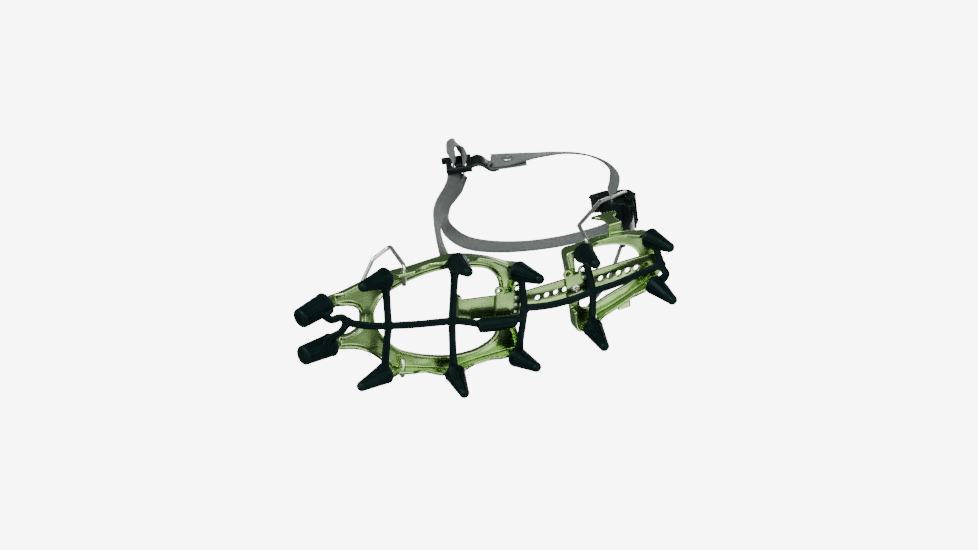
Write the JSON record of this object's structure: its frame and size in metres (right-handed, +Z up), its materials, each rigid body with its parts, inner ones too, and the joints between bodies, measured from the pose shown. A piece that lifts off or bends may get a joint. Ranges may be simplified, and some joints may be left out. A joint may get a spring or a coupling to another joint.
{
  "type": "step-in crampon",
  "caption": "Step-in crampon: two toothed frames on a linking bar, wire toe and heel bails, a heel lever with an ankle strap, and rubber protectors over the points.",
  "frame": {"origin": "on the boot plane, at the middle of the front frame's rear bridge", "axes": "+Z up to the boot, with the points hanging down; +X towards the toe; +Y towards the buckle side of the ankle strap"},
  "size_m": [0.3396, 0.1552, 0.2059],
  "materials": {
    "anodised_green": "satin anodised",
    "stainless": "polished wire and rivets",
    "black_rubber": "matt, soft sheen",
    "grey_webbing": "woven",
    "black_plastic": "fine moulded grain"
  },
  "bodies": {
    "front_section": {"front_frame": "anodised_green", "front_keeper": "anodised_green", "front_rivets": "stainless", "linking_bar": "anodised_green", "caps_row1": "black_rubber", "caps_row2": "black_rubber", "caps_row3": "black_rubber", "caps_row4": "black_rubber", "front_net": "black_rubber", "net_pad": "black_rubber", "net_link": "black_rubber"},
    "heel_section": {"heel_frame": "anodised_green", "heel_keeper": "anodised_green", "heel_rivets": "stainless", "lock_screw": "stainless", "caps_row5": "black_rubber", "caps_row6": "black_rubber", "heel_net": "black_rubber"},
    "toe_bail": {"toe_bail": "stainless"},
    "heel_bail": {"heel_bail": "stainless"},
    "heel_lever": {"lever_body": "black_plastic", "lever_tongue": "black_plastic", "lever_handle": "black_plastic", "ankle_webbing": "grey_webbing", "webbing_tail": "grey_webbing", "buckle": "black_plastic", "buckle_tab": "black_plastic", "webbing_rivet": "stainless"}
  },
  "joints": [
    {"name": "heel_slide", "type": "slide", "parent": "front_section", "child": "heel_section", "axis": [0.9833, -0.1822, 0], "range_m": [-0.032, 0.008], "deforming": ["net_link"]},
    {"name": "toe_bail_hinge", "type": "hinge", "parent": "front_section", "child": "toe_bail", "pos_m": [0.088, 0, -0.008], "axis": [0, 1, 0], "range_deg": [-35, 40]},
    {"name": "heel_bail_hinge", "type": "hinge", "parent": "heel_section", "child": "heel_bail", "pos_m": [-0.07247, 0.01421, -0.0056], "axis": [0.1822, 0.9833, 0], "range_deg": [-35, 0]},
    {"name": "heel_lever_hinge", "type": "hinge", "parent": "heel_bail", "child": "heel_lever", "pos_m": [-0.15359, 0.02924, 0.101], "axis": [0.1822, 0.9833, 0], "range_deg": [-90, 0]}
  ]
}
